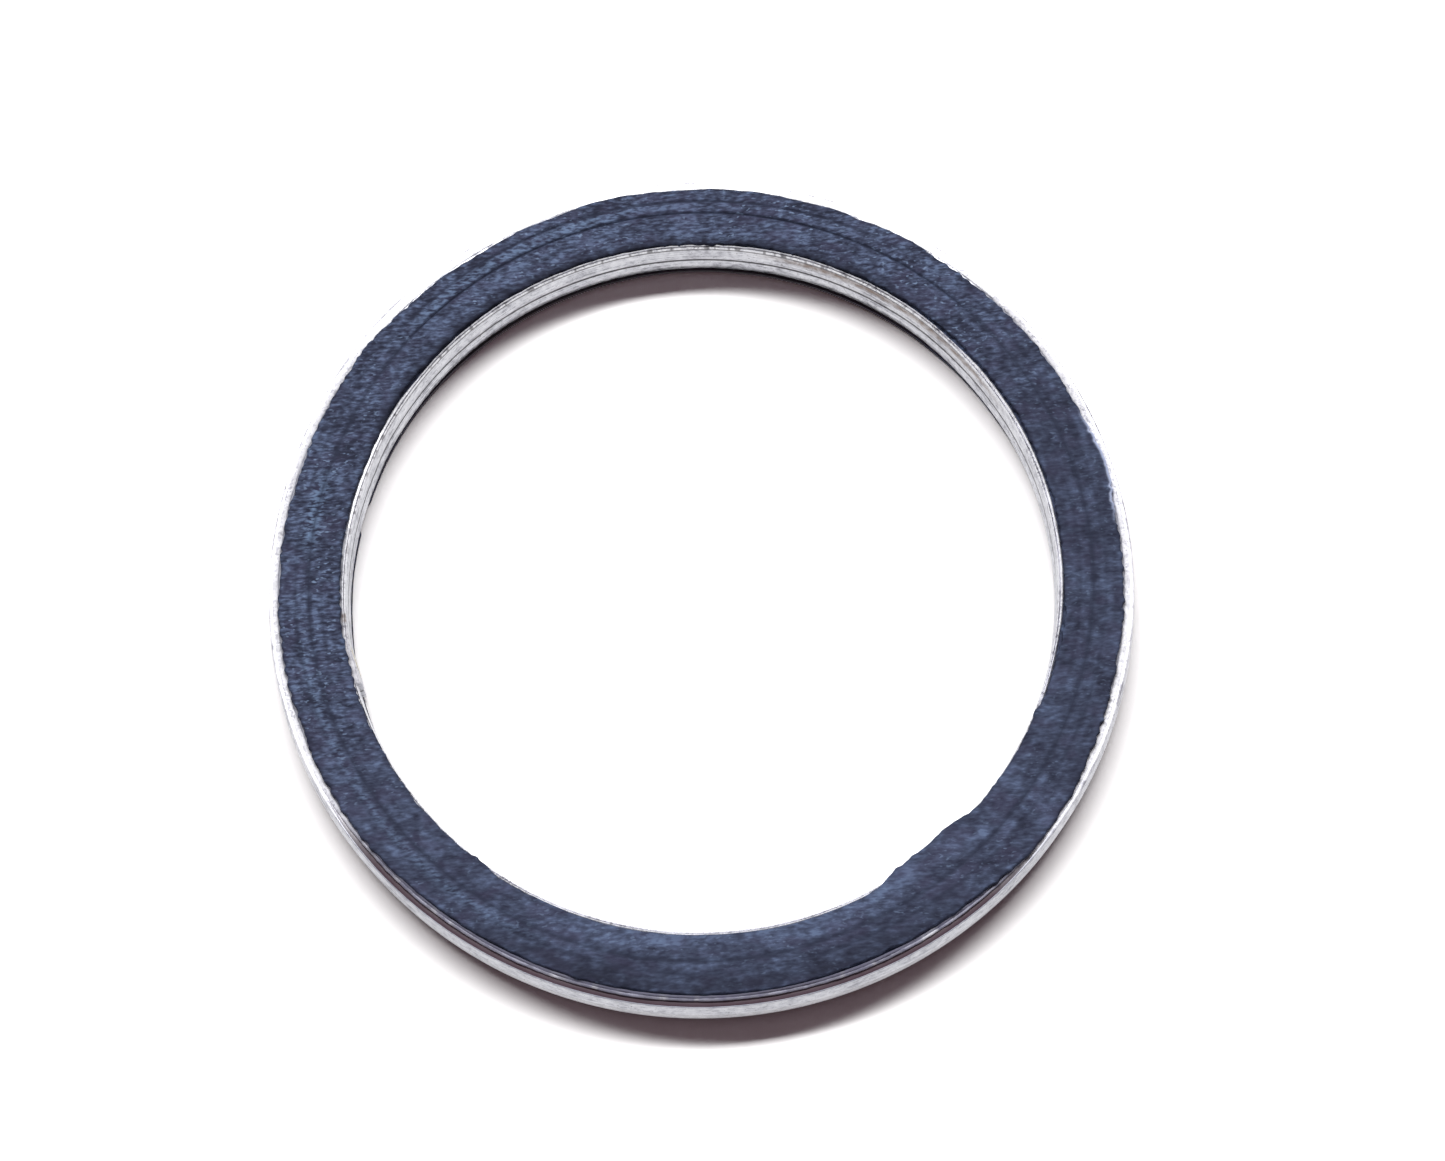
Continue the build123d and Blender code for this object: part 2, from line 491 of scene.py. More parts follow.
def dip(radius, line, half):
    """A pressed seam in section: 1 at its line, 0 at its edges."""
    return smooth(1 - np.abs(radius - line[:, None]) / half[:, None])


# %% [markdown]
# Now the roll's section: up the hidden wall behind the bore strip, over the rounded inner
# lip, across the face with its seams, over the outer lip, down behind the outer strip and
# back along the underside. The lower lip bulges a little into the bore under the strip's
# edge, apart from the right-hand side and one short place, where the strip hides it.


# %% Rows of the roll's top face
def spaced(start, end, count):
    """So many rows of points, evenly spread between one line round the ring and the next."""
    share = (np.arange(count) + 0.5) / count
    return start[:, None] + (end - start)[:, None] * share[None, :]


def groove_rows(line, half, shares):
    return line[:, None] + half[:, None] * np.array(shares)[None, :]


lip_round = 0.14 * mm
face_rows = np.hstack([
    spaced(inner_edge + lip_round, inner_seam - inner_half, 7),
    groove_rows(inner_seam, inner_half, (-1, 0, 1)),
    spaced(inner_seam + inner_half, seam_line - seam_half, 4),
    groove_rows(seam_line, seam_half, (-1, -0.5, 0, 0.5, 1)),
    spaced(seam_line + seam_half, outer_seam - outer_half, 3),
    groove_rows(outer_seam, outer_half, (-1, -0.5, 0, 0.5, 1)),
    spaced(outer_seam + outer_half, outer_edge - lip_round, 9),
])
face_x = face_rows * np.cos(np.radians(degrees))[:, None]
face_y = face_rows * np.sin(np.radians(degrees))[:, None]
relief_start = 200
fibre_x, fibre_y = face_x / (0.6 * mm) + relief_start, face_y / (0.16 * mm) + 2 * relief_start
press_x, press_y = face_x / (1.8 * mm) + relief_start, face_y / (1.1 * mm) + relief_start
fibre_relief = 0.5 + 0.5 * grain(fibre_x, fibre_y, 24)
press_relief = 0.5 + 0.5 * grain(press_x, press_y, 25)
face_height = (
    top
    - 0.01 * mm * fibre_relief
    - 0.03 * mm * press_relief
    - seam_depth[:, None] * dip(face_rows, seam_line, seam_half)
    - outer_seam_depth[:, None] * dip(face_rows, outer_seam, outer_half)
    - inner_seam_depth[:, None] * dip(face_rows, inner_seam, inner_half)
)
print("rows across the face", face_rows.shape[1])


# %% Rows of the lips, walls and underside
def on_every_column(*values):
    """Rows of points that are the same at every angle."""
    return np.broadcast_to(np.array(values, dtype=float), (roll_columns, len(values)))


lip_turns = np.radians([8, 34, 62])
inner_lip = inner_edge[:, None] + lip_round * (1 - np.cos(lip_turns))[None, :]
outer_lip = outer_edge[:, None] - lip_round * (1 - np.cos(lip_turns[::-1]))[None, :]
lip_height = on_every_column(*(top - lip_round * (1 - np.sin(lip_turns))))

front = stretch(degrees, 226, 318, 24)[:, None]
smeared_foot = outer_edge[:, None] + 0.05 * mm * front
low_lip_out = 0.05 * stretch(degrees, 35, 214, 12) + 0.06 * stretch(degrees, 148, 190, 8)
low_lip_back = 0.12 * stretch(degrees, -60, 30, 15) + 0.16 * stretch(degrees, 158.5, 164.5, 1.2)
low_inside = bore_radius + (low_lip_back - low_lip_out + 0.012 * wander(degrees, 90, 26)) * mm
low_outside = filler_outside + (0.03 + 0.02 * wander(degrees, 90, 27)) * mm
foot_round = 0.1 * mm
under_seam_half = 0.06 * mm
under_radius = np.hstack([
    groove_rows(low_outside - foot_round, np.full(roll_columns, foot_round), (1, 0)),
    spaced(low_outside - foot_round, seam_line + under_seam_half, 2),
    groove_rows(seam_line, np.full(roll_columns, under_seam_half), (1, 0, -1)),
    spaced(seam_line - under_seam_half, low_inside + foot_round, 2),
    groove_rows(low_inside, np.full(roll_columns, foot_round), (1, 0)),
])
under_height = on_every_column(foot_round, 0, 0, 0, 0, foot_round, 0, 0, 0, 0, foot_round)
print("rows across the underside", under_radius.shape[1])

# %% Join the rows of the roll's section
wall_heights = (strip_low, middle - fold_half, middle, middle + fold_half, strip_high)
wall_up = on_every_column(*wall_heights)


def wall(radius):
    """The roll's side, which follows the fold of the strip that holds it."""
    return on_every_column(radius, radius, radius + fold_depth, radius, radius)


roll_radius = np.hstack([
    wall(filler_inside), inner_lip[:, :1], inner_lip, face_rows, outer_lip, smeared_foot,
    wall(filler_outside), low_outside[:, None], under_radius, low_inside[:, None],
])
roll_height = np.hstack([
    wall_up, on_every_column(strip_high), lip_height, face_height, lip_height[:, ::-1],
    on_every_column(strip_high), wall_up[:, ::-1], on_every_column(strip_low), under_height,
    on_every_column(strip_low),
])
print("rows in the whole section", roll_radius.shape[1])

# %% [markdown]
# The roll's colour changes with its form: seams are darker, and the lips are darkened with
# painted shade. A patch at the left and the edge of a turn at the back are paler, and at the
# front the face is paler on the bore side and darkened with painted shade on the other. The
# right side gets a little painted shade, and the lower lip, in the table's shadow, gets it
# too. Such values are worked out here for each point of the mesh, where the seams and edges
# are known, and the material only reads them. A picture wrapped round the ring could do the
# same, but it would have to be painted and kept beside the model.

# %% Dark paint of the roll: seams and shade
from_inside = roll_radius - inner_edge[:, None]
from_outside = outer_edge[:, None] - roll_radius
right_side = stretch(degrees, -50, 42, 24)[:, None]
shade_reach = (0.35 + 0.35 * stretch(degrees, 40, 165, 20)[:, None]) * mm
seam_paint = np.maximum.reduce([
    (0.8 + 0.2 * back)[:, None] * dip(roll_radius, seam_line, seam_half),
    outer_seam_shows[:, None] * dip(roll_radius, outer_seam, outer_half),
    0.7 * inner_seam_shows[:, None] * dip(roll_radius, inner_seam, inner_half),
])
shade_paint = np.maximum.reduce([
    smooth(1 - from_inside / shade_reach) * (0.3 + 0.65 * stretch(degrees, 40, 165, 20))[:, None],
    smooth(1 - from_outside / (0.22 * mm)) * (0.5 - 0.5 * front),
    smooth(1 - from_outside / (1.9 * mm)) * smooth(from_outside / (0.16 * mm)) * 0.75 * front,
    0.24 * right_side * np.ones(roll_radius.shape),
])
print("shade up to", round(shade_paint.max(), 2))


# %% Pale paint of the roll: rubbed patches and turns that catch the light
def band_along(line, half, flat=1.0):
    """A soft band round the roll: 1 at its line, 0 at its edges. More than 1 for flat
    widens the part that is 1."""
    return smooth(flat - np.abs(roll_radius - np.atleast_1d(line)[:, None]) / half)


left_patch_radius = 21.05 * mm
pale_paint = np.maximum.reduce([
    stretch(degrees, 157, 172, 4)[:, None] * band_along(left_patch_radius, 0.75 * mm),
    0.55 * stretch(degrees, 92, 138, 12)[:, None] * band_along(seam_line + 0.35 * mm, 0.3 * mm, 1.3),
    0.4 * stretch(degrees, 176, 250, 20)[:, None] * band_along(seam_line + 0.5 * mm, 0.45 * mm),
])
lift_paint = np.maximum.reduce([
    0.75 * front * smooth(1.1 - from_inside / (1.3 * mm)),
    0.5 * far_back[:, None] * band_along(seam_line + 0.36 * mm, 0.3 * mm, 1.2),
    0.3 * far_back[:, None] * band_along(seam_line - 0.6 * mm, 0.45 * mm, 1.3),
    0.2 * stretch(degrees, 145, 235, 15)[:, None] * smooth(1.2 - from_outside / (1.6 * mm)),
])
print("pale up to", round(pale_paint.max(), 2), "and lifted up to", round(lift_paint.max(), 2))

# %% Build the graphite roll
along_bands = degrees[:, None] / 4 * np.ones(roll_radius.shape)
band_paint = 0.5 + 0.5 * grain(roll_radius / (0.24 * mm), along_bands, 29)
crisp_paint = 0.45 + 0.55 * stretch(degrees, 18, 216, 30)[:, None]
# painted shade on the lower lip, which lies in the table's shadow, most of all at the back
low_lip = (roll_height < strip_low + 0.05 * mm) & (roll_radius < filler_inside + 0.2 * mm)
low_lip_shade_paint = low_lip * (0.4 + 0.6 * stretch(degrees, 35, 150, 20))[:, None]
fringe_paint = stretch(degrees, 3, 22, 5)[:, None] * smooth(1.2 - from_outside / (0.17 * mm))
roll_paint = {
    "seam": seam_paint,
    "shade": shade_paint,
    "pale": pale_paint,
    "lift": lift_paint,
    "band": band_paint,
    "crisp": crisp_paint,
    "low_lip_shade": low_lip_shade_paint,
    "fringe": fringe_paint,
}
roll = turned_ring("graphite_roll", degrees, roll_radius, roll_height, roll_paint)

# %% [markdown]
# ## Metal strip
#
# Both bands are the same rolled strip, slit from a sheet. Slitting leaves a burr: a bright
# ragged edge that stands up in tiny teeth. A strip pressed with a fold along its middle
# grips the graphite. The bore band is two turns, with its loose end lying on the turn
# below, so its inner radius steps out where that end is cut off square. Two columns at
# almost one angle make that square cut. Each row of the section has a kind, such as wall
# or burr, and wear is laid on by kind.


# %% A section with kinds, and a place to cut it
def section(rows, turns):
    """Splits rows of kind, radius and height into their kinds and two full tables."""
    kinds = np.array([kind for kind, radius, height in rows])
    radius = np.stack([np.broadcast_to(radius, (turns,)) for kind, radius, height in rows], axis=1)
    height = np.stack([np.broadcast_to(height, (turns,)) for kind, radius, height in rows], axis=1)
    return kinds, radius, height


def laid_on(kinds, wanted, amount=1.0):
    """Wear for the rows of some kinds only: one amount, or one for every angle."""
    return np.atleast_1d(amount)[:, None] * np.isin(kinds, wanted)[None, :]


def with_cut(count, angle):
    """Angles all round, with two of them almost at one place, and the number of the first."""
    even = np.arange(count) * 360 / count
    first = int(round(angle * count / 360))
    return np.insert(even, first + 1, even[first] + 0.004), first


# %% Bore strip: its lie at each angle
end_ramp_start, end_flat_start, end_angle = 184.2, 190.3, 192.8
end_lift = 0.22 * mm
bore_columns = 2400
bore_degrees, cut = with_cut(bore_columns, end_angle)
lift = end_lift * smooth((bore_degrees - end_ramp_start) / (end_flat_start - end_ramp_start))
lift[cut + 1:] = 0
bore_seat = (
    bore_radius
    + 0.09 * mm * stretch(bore_degrees, 30, 150, 28)
    - 0.07 * mm * stretch(bore_degrees, 148, 192, 9)
    + 0.008 * mm * wander(bore_degrees, 60, 31)
)
bore_face = bore_seat - lift
bared = stretch(bore_degrees, *bore_bared)
comb = 0.5 + 0.5 * wander(bore_degrees, 640, 32)
teeth = 0.5 + 0.5 * wander(bore_degrees, 420, 33)
ragged = 0.5 + 0.5 * wander(bore_degrees, 75, 34)
first_crest = (0.04 + (0.03 + 0.11 * bared) * (0.3 + 0.4 * comb + 0.3 * ragged)) * mm
second_crest = (0.04 + (0.03 + 0.2 * bared) * (0.35 + 0.35 * teeth + 0.3 * ragged)) * mm
lean = 0.08 * mm * (stretch(bore_degrees, -16, 40, 6) + stretch(bore_degrees, 138, 168, 6))
print("burr stands up to", round(second_crest.max() / mm, 2), "mm above the strip")

# %% Bore strip: rows of its section
crease_height = middle - 0.2 * mm  # the fold is pressed a little below the middle
crease_half = 0.09 * mm
crease_deep = 0.07 * mm
bore_rows = (
    ("foot", bore_face + 0.02 * mm, strip_low),
    ("wall", bore_face, strip_low + 0.03 * mm),
    ("wall", bore_face + 0.005 * mm, strip_low + 0.5 * mm),
    ("wall", bore_face + 0.02 * mm, crease_height - 3 * crease_half),
    ("wall", bore_face + 0.03 * mm, crease_height - 1.6 * crease_half),
    ("flank", bore_face + 0.6 * crease_deep, crease_height - 0.8 * crease_half),
    ("crease", bore_face + crease_deep, crease_height),
    ("flank", bore_face + 0.6 * crease_deep, crease_height + 0.8 * crease_half),
    ("wall", bore_face + 0.03 * mm, crease_height + 1.6 * crease_half),
    ("wall", bore_face + 0.02 * mm, crease_height + 3 * crease_half),
    ("wall", bore_face + 0.005 * mm, crease_height + 0.7 * mm),
    ("brow", bore_face + 0.01 * mm, strip_high - 0.4 * mm),
    ("brow", bore_face + 0.025 * mm, strip_high - 0.17 * mm),
    ("line", bore_face + 0.04 * mm, strip_high - 0.07 * mm),
    ("first burr", bore_face + 0.05 * mm, strip_high),
    ("first burr", bore_face + 0.075 * mm, strip_high + 0.75 * first_crest),
    ("first burr", bore_face + 0.1 * mm, strip_high + first_crest),
    ("first burr", bore_face + 0.12 * mm, strip_high + 0.4 * first_crest),
    ("gap", bore_face + 0.135 * mm, strip_high - 0.02 * mm),
    ("gap", bore_seat + 0.15 * mm, strip_high + 0.2 * second_crest),
    ("second burr", bore_seat + 0.175 * mm, strip_high + 0.7 * second_crest),
    ("second burr", bore_seat + 0.205 * mm + 0.6 * lean, strip_high + second_crest),
    ("second burr", bore_seat + 0.24 * mm + lean, strip_high + 0.6 * second_crest),
    ("back", filler_inside - 0.01 * mm, strip_high - 0.02 * mm),
    ("back", filler_inside - 0.01 * mm, middle + fold_half),
    ("back", filler_inside + 0.8 * fold_depth, middle),
    ("back", filler_inside - 0.01 * mm, middle - fold_half),
    ("back", filler_inside - 0.01 * mm, strip_low + 0.01 * mm),
)
bore_kinds, bore_ring_radius, bore_ring_height = section(bore_rows, len(bore_degrees))
print("rows", len(bore_kinds), "of kinds", sorted(set(bore_kinds.tolist())))

# %% [markdown]
# What lies on the strip: painted shade in the crease, in the gap between the two turns,
# in a thin line under the burr at the back and along the foot where the loose end climbs,
# with a few dark bits on the burr; a grey-brown band under the edge at the right; and near
# the loose end a brown spot on the burr and a yellow tint on the wall. Where the loose end
# climbs, its upper edge is scuffed, so it is matt there.

# %% Build the bore strip
burr_kinds = ("first burr", "second burr")
under_burr = stretch(bore_degrees, 25, 165, 25)
on_ramp = stretch(bore_degrees, 183, 193.6, 1.2)
open_gap = stretch(bore_degrees, 38, 224, 18) * (1 - on_ramp)
dark_bits = smooth(3 * wander(bore_degrees, 620, 36) - 1.1) * stretch(bore_degrees, 40, 180, 20)
# painted shade in the crease, the gap, under the burr and along the loose end's foot, with dark bits on the
# burr
shade_and_grime = (
    laid_on(bore_kinds, "crease")
    + laid_on(bore_kinds, "flank", 0.9)
    + laid_on(bore_kinds, "line", 0.85 * under_burr)
    + laid_on(bore_kinds, "foot", 0.6 * on_ramp)
    + laid_on(bore_kinds, "gap", 0.1 + 0.7 * open_gap + 0.08 * on_ramp)
    + laid_on(bore_kinds, "first burr", 0.55 * dark_bits)
)
# a grey-brown band under the edge at the right, and a brown spot on the burr near the loose end
brown_marks = (
    laid_on(bore_kinds, "brow", stretch(bore_degrees, 24, 80, 14))
    + laid_on(bore_kinds, burr_kinds, stretch(bore_degrees, 180.7, 182.5, 0.5))
)
yellow = laid_on(bore_kinds, ("wall", "brow", "line"), stretch(bore_degrees, 185.8, 190.4, 1.2))
bore_paint = {
    "across": bore_ring_height,
    "shade_and_grime": shade_and_grime,
    "burr": laid_on(bore_kinds, burr_kinds),
    "brown_marks": brown_marks,
    "yellow": yellow,
    "matt": np.maximum(0.9 * shade_and_grime, laid_on(bore_kinds, ("gap",) + burr_kinds, on_ramp)),
}
bore_strip = turned_ring("bore_strip", bore_degrees, bore_ring_radius, bore_ring_height, bore_paint)

# %% [markdown]
# The outer band ends in two turns whose edges lie side by side as a ragged ledge, smeared
# with graphite at the front and bare at the back. At the front a cleft parts them from the
# last turn, which is pressed to a ridge round its middle; elsewhere the turns touch. At
# the back its loose end lies on the turn below and steps down at a square cut.

# %% Outer strip: its lie at each angle
outer_cut_angle, outer_flat_end, outer_ramp_end = 128.5, 136.5, 150.5
outer_lift = 0.1 * mm
outer_degrees, outer_cut = with_cut(roll_columns, outer_cut_angle)
rise = outer_lift * smooth((outer_ramp_end - outer_degrees) / (outer_ramp_end - outer_flat_end))
rise[:outer_cut + 1] = 0
print("loose end stands up to", round(rise.max() / mm, 2), "mm proud")

# %% Outer strip: its ledge, cleft and last turn
last_face = rim_radius + rise
parted = stretch(outer_degrees, 203.0, 322.0, 16.0)
turn_line = filler_outside + strip_thickness + 0.02 * mm * wander(outer_degrees, 30, 41)
first_edge = strip_high + (0.02 * wander(outer_degrees, 130, 42) + 0.03 * wander(outer_degrees, 420, 43)) * mm
second_edge = strip_high + (
    0.02 * wander(outer_degrees, 110, 44)
    + 0.02 * wander(outer_degrees, 400, 45)
) * mm
ledge_rim = (
    ledge_outside
    + 0.15 * mm * (1 - parted)
    + (0.012 * wander(outer_degrees, 90, 46) + 0.012 * wander(outer_degrees, 400, 47)) * mm
)
last_edge = strip_high + 0.01 * mm * wander(outer_degrees, 60, 48)
last_wall = last_inside + 0.09 * mm * parted
cleft_foot = strip_high - 0.12 * mm * parted
cleft_rise = 0.07 * mm * parted
ledge_rise = 0.16 * mm
raised = ledge_rise * stretch(outer_degrees, 203.0, 306.0, 16.0)
upper_half = strip_high - middle
under_cleft_top = strip_low + 0.6 * mm
print("cleft from", round(ledge_rim.min() / mm, 2), "to", round(last_wall.max() / mm, 2), "mm")

# %% Outer strip: rows of its section
outer_rows = (
    ("back", filler_outside, strip_low),
    ("back", filler_outside, middle - fold_half),
    ("back", filler_outside + fold_depth, middle),
    ("back", filler_outside, middle + fold_half),
    ("ledge", filler_outside + 0.005 * mm, first_edge - 0.06 * mm + raised),
    ("ledge", filler_outside + 0.04 * mm, first_edge + raised),
    ("crest", turn_line - 0.05 * mm, first_edge + 0.01 * mm + 0.8 * raised),
    ("crest", turn_line - 0.015 * mm, first_edge - 0.02 * mm + 0.6 * raised),
    ("split", turn_line, strip_high - 0.03 * mm + 0.5 * raised),
    ("rim", turn_line + 0.015 * mm, second_edge - 0.02 * mm + 0.45 * raised),
    ("rim", turn_line + 0.05 * mm, second_edge + 0.01 * mm + 0.4 * raised),
    ("rim", ledge_rim - 0.03 * mm, second_edge + 0.25 * raised),
    ("rim", ledge_rim, second_edge - 0.03 * mm * parted + 0.2 * raised),
    ("cleft", ledge_rim + 0.005 * mm, 0.6 * strip_high + 0.4 * cleft_foot),
    ("cleft", ledge_rim + (0.01 + 0.02 * parted) * mm, cleft_foot),
    ("cleft", last_wall - (0.005 + 0.015 * parted) * mm, cleft_foot + cleft_rise),
    ("cleft", last_wall - 0.002 * mm, strip_high - 0.03 * mm * parted),
    ("edge", last_wall, last_edge - 0.02 * mm * parted),
    ("edge", last_wall + 0.02 * mm, last_edge),
    ("edge", last_face - 0.03 * mm, last_edge),
    ("edge", last_face, last_edge - 0.03 * mm),
    ("upper", last_face + 0.003 * mm, last_edge - 0.05 * mm),
    ("upper", last_face + 0.2 * fold_depth, middle + 0.7 * upper_half),
    ("upper", last_face + 0.6 * fold_depth, middle + 0.4 * upper_half),
    ("upper", last_face + 0.97 * fold_depth, middle + 0.16 * upper_half),
    ("lower", last_face + 0.97 * fold_depth, middle + 0.04 * upper_half),
    ("lower", last_face + 0.45 * fold_depth, middle - 0.35 * upper_half),
    ("lower", last_face + 0.1 * fold_depth, middle - 0.75 * upper_half),
    ("hem", last_face, strip_low + 0.04 * mm),
    ("hem", last_face - 0.04 * mm, strip_low),
    ("back", last_inside, strip_low),
    ("back", last_inside - 0.05 * mm, under_cleft_top),
    ("back", ledge_outside + 0.05 * mm, under_cleft_top),
    ("back", ledge_outside, strip_low),
    ("back", turn_line + 0.02 * mm, strip_low),
    ("back", turn_line, strip_low + 0.1 * mm),
    ("back", turn_line - 0.02 * mm, strip_low),
)
outer_kinds, outer_ring_radius, outer_ring_height = section(outer_rows, len(outer_degrees))
print("rows", len(outer_kinds), "of kinds", sorted(set(outer_kinds.tolist())))

# %% [markdown]
# At the front, graphite is smeared over the ledge and rubbed off again here and there, and
# the cleft is darkened with painted shade. Crests and rims carry painted glints, fewer where
# smeared. At the sides the ledge and its rim are dull and scuffed. Below the ridge the last
# turn is dimmer with painted shade, as it faces down to the table's shadow, and its hem is
# dimmer still.

# %% Build the outer strip
smeared = stretch(outer_degrees, 200.0, 330.0, 22.0)
rubbed_bare = smooth(2.5 * wander(outer_degrees, 240, 51) - 1.2)
at_the_sides = 1 - stretch(outer_degrees, 38, 142, 14)
smear = (
    laid_on(outer_kinds, ("ledge", "crest", "split"), smeared * (1 - 0.6 * rubbed_bare))
    + laid_on(outer_kinds, "rim", 0.9 * smeared * (1 - 0.6 * rubbed_bare))
)
# painted shade in the cleft between the ledge and the last turn
cleft_shade = laid_on(outer_kinds, "cleft", parted)
dull = (
    laid_on(outer_kinds, ("ledge", "crest", "split"), 0.95 * at_the_sides)
    + laid_on(outer_kinds, "rim", 0.25 * at_the_sides)
    + laid_on(outer_kinds, "edge", 0.8 * smeared)
    + laid_on(outer_kinds, "upper", 0.15 * smeared)
)
side_matt = (
    laid_on(outer_kinds, ("ledge", "crest", "split"), at_the_sides)
    + laid_on(outer_kinds, "rim", 0.88 * at_the_sides)
    + laid_on(outer_kinds, ("cleft", "edge"), 0.4 * at_the_sides)
)
outer_paint = {
    "across": outer_ring_radius + outer_ring_height,
    "shade_and_grime": cleft_shade,
    # painted glints on the crests and rims
    "burr": laid_on(outer_kinds, ("crest", "rim"), 1 - 0.7 * smeared * (1 - rubbed_bare)),
    "smear": smear,
    "dull": dull,
    # painted shade on the lower half of the last turn and, darkest, on its hem
    "dim": laid_on(outer_kinds, "lower", 0.4) + laid_on(outer_kinds, "hem"),
    "matt": np.maximum.reduce([0.95 * smear, cleft_shade, side_matt]),
}
outer_strip = turned_ring("outer_strip", outer_degrees, outer_ring_radius, outer_ring_height, outer_paint)

# %% [markdown]
# ## Finish of the graphite
#
# The face is matt slate blue. Looked at closely it is made of short streaks that all run
# from left to right, some pale and some nearly black, gathered into soft mottles, with
# blue-white flecks painted as glints where a flake catches the light. Noise that is
# stretched along X gives the streaks, rounder noise the mottles, and their sum picks a
# colour from a ladder of blues. Seams are darkened by the values that were laid on the
# mesh, and lips, the lower lip and parts of the front and the right side by painted shade
# laid on the same way.


# %% Graphite material
def graphite_finish():
    material, tree = new_tree("pressed_graphite")
    place = add(tree, "ShaderNodeTexCoord").outputs["Object"]
    crisp = painted(tree, "crisp")
    streaks = blots(tree, place, (2300, 6500, 6500), 2.0, 0.5)
    threads = blots(tree, place, (1100, 8000, 8000), 1.0, 0.5)
    mottles = blots(tree, place, (1500, 2300, 2300), 1.0, 0.5)
    clouds = blots(tree, place, (420, 640, 640), 2.0, 0.5)
    flakes = blots(tree, place, (3000, 6200, 6200), 1.0, 0.5)
    where = blots(tree, place, (480, 760, 760), 2.0, 0.6)
    tints = blots(tree, place, (700, 1100, 1100), 1.0, 0.5)

    fine = times(tree, math_of(tree, "SUBTRACT", streaks, 0.5), crisp)
    depth = mixture(tree, (fine, 0.8), (mottles, 0.34), (clouds, 0.32), (painted(tree, "band"), 0.1),
                    (painted(tree, "lift"), 0.15))
    base = ladder(tree, spread(tree, depth, 0.23, 0.55), (
        (0.0, (43, 47, 64)),
        (0.25, (56, 61, 82)),
        (0.5, (69, 77, 100)),
        (0.75, (85, 96, 124)),
        (1.0, (104, 120, 152)),
    ))
    base = blend(tree, spread(tree, tints, 0.48, 0.66, 0, 0.3), base, tone(76, 73, 100))
    base = blend(tree, times(tree, spread(tree, threads, 0.55, 0.72, 0, 0.6), crisp), base, tone(44, 48, 65))
    # painted glints where flakes catch the light
    fleck = times(tree, spread(tree, flakes, 0.6, 0.72), spread(tree, where, 0.42, 0.6))
    base = blend(tree, times(tree, fleck, times(tree, crisp, 0.75)), base, tone(138, 160, 194))
    pale = times(tree, painted(tree, "pale"), spread(tree, streaks, 0.42, 0.62))
    base = blend(tree, times(tree, pale, 0.75), base, tone(128, 154, 190))
    broken = spread(tree, mottles, 0.3, 0.65, 1.0, 0.8)
    base = blend(tree, times(tree, painted(tree, "shade"), broken), base, tone(38, 41, 56))
    base = blend(tree, times(tree, painted(tree, "seam"), broken), base, tone(44, 49, 67))
    # painted shade on the lower lip
    base = blend(tree, times(tree, painted(tree, "low_lip_shade"), 0.85), base, tone(58, 51, 58))
    base = blend(tree, painted(tree, "fringe"), base, tone(196, 208, 240))

    relief = times(tree, mixture(tree, (streaks, 1.0), (threads, 0.5)), crisp)
    bump = add(tree, "ShaderNodeBump", {"Height": relief, "Strength": 0.3, "Distance": 0.00005})
    surface = add(tree, "ShaderNodeBsdfPrincipled", {
        "Base Color": base,
        "Roughness": spread(tree, streaks, 0.3, 0.8, 0.85, 0.68),
        "Normal": bump.outputs["Normal"],
        "Specular IOR Level": 0.12,
    })
    add(tree, "ShaderNodeOutputMaterial", {"Surface": surface.outputs[0]})
    return material


# %% [markdown]
# ## Finish of the strip
#
# The strip is bright rolled steel gone dull: lines along the roll, small grey blotches, and
# a burr with painted glints. Coats lie over it, each where it was laid on the mesh and a
# little patchy: painted shade in the fold, the gap, the cleft and below the outer ridge, a
# few dark bits on the burr, brown marks under the edge at the right and near the loose end,
# a yellow tint there, graphite smeared on the ledge. The lines run round the ring, so their
# noise is stretched along X and Y and packed tight across the strip. The painted shade and
# dark bits in the fold, gap and cleft, and the smears, are matt, so they take the metal away.


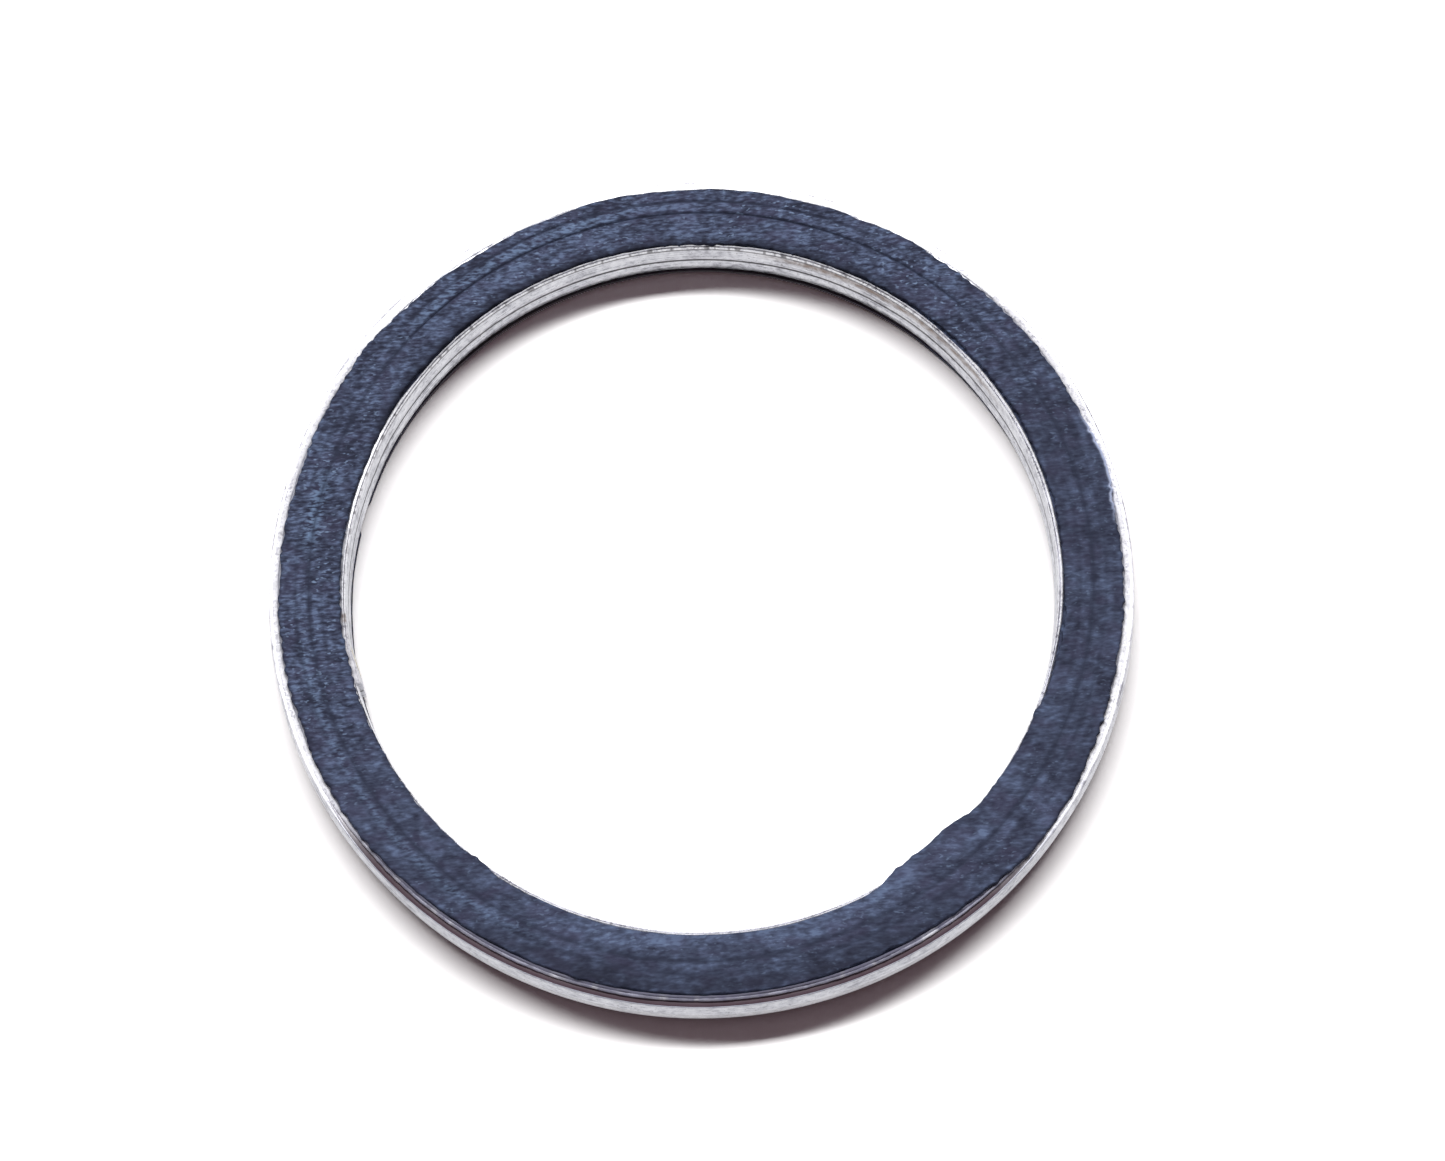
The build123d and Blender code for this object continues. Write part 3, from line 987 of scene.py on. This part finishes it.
# %% Strip material
def strip_finish(name, coats):
    material, tree = new_tree(name)
    place = add(tree, "ShaderNodeTexCoord").outputs["Object"]
    split = add(tree, "ShaderNodeSeparateXYZ", {"Vector": place})
    across = painted(tree, "across")
    rolled = add(tree, "ShaderNodeCombineXYZ", {0: split.outputs[0], 1: split.outputs[1], 2: across})
    lines = blots(tree, rolled.outputs[0], (350, 350, 15000), 3.0, 0.6)
    blotches = blots(tree, place, 2400.0, 3.0, 0.6)
    specks = blots(tree, place, 6500.0, 1.0, 0.5)
    clouds = blots(tree, place, 420.0, 2.0, 0.5)

    depth = mixture(tree, (lines, 0.4), (blotches, 0.4), (clouds, 0.2))
    metal = ladder(tree, spread(tree, depth, 0.4, 0.6), (
        (0.0, (154, 153, 162)),
        (0.3, (206, 206, 214)),
        (0.6, (227, 227, 233)),
        (1.0, (244, 244, 249)),
    ))
    metal = blend(tree, spread(tree, specks, 0.64, 0.76, 0, 0.65), metal, tone(116, 112, 118))
    # painted glints on the burrs
    glints = times(tree, painted(tree, "burr"), spread(tree, specks, 0.4, 0.55))
    metal = blend(tree, glints, metal, tone(248, 248, 252))
    for label, colour, thin, thick in coats:
        patchy = spread(tree, blotches, 0.38, 0.6, thick, thin)
        metal = blend(tree, times(tree, painted(tree, label), patchy), metal, tone(*colour))

    relief = mixture(tree, (lines, 1.0), (blotches, 1.0))
    bump = add(tree, "ShaderNodeBump", {"Height": relief, "Strength": 0.25, "Distance": 0.00003})
    surface = add(tree, "ShaderNodeBsdfPrincipled", {
        "Base Color": metal,
        "Metallic": spread(tree, painted(tree, "matt"), 0, 1, 0.85, 0),
        "Roughness": spread(tree, blotches, 0.3, 0.7, 0.42, 0.56),
        "Normal": bump.outputs["Normal"],
    })
    add(tree, "ShaderNodeOutputMaterial", {"Surface": surface.outputs[0]})
    return material


# the last coat is painted shade in the crease, the gap and under the burr, with dark bits on the burr
bore_coats = (
    ("brown_marks", (136, 118, 108), 0.5, 1.0),
    ("yellow", (204, 190, 156), 0.5, 0.9),
    ("shade_and_grime", (58, 53, 62), 0.8, 1.0),
)
# the first coat is painted shade below the ridge, and the last is painted shade in the cleft
outer_coats = (
    ("dim", (112, 106, 114), 0.8, 1.0),
    ("dull", (140, 142, 156), 0.9, 1.0),
    ("smear", (118, 118, 140), 0.85, 1.0),
    ("shade_and_grime", (66, 47, 58), 1.0, 1.0),
)

# %% [markdown]
# ## Putting the ring together
#
# Each dressed piece takes the place of one solid of the frame and rides on the only body,
# because nothing in a gasket moves.

# %% Dress the frame
pieces = (
    (roll, "filler", "graphite_filler", graphite_finish()),
    (bore_strip, "bore_band", "bore_strip", strip_finish("bore_strip_steel", bore_coats)),
    (outer_strip, "outer_band", "outer_strip", strip_finish("outer_strip_steel", outer_coats)),
)
for piece, solid, material_slot, finish in pieces:
    piece.data.materials.append(finish)
    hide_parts(solid)
    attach(piece, "root")
    print(piece.name, "stands for", solid)
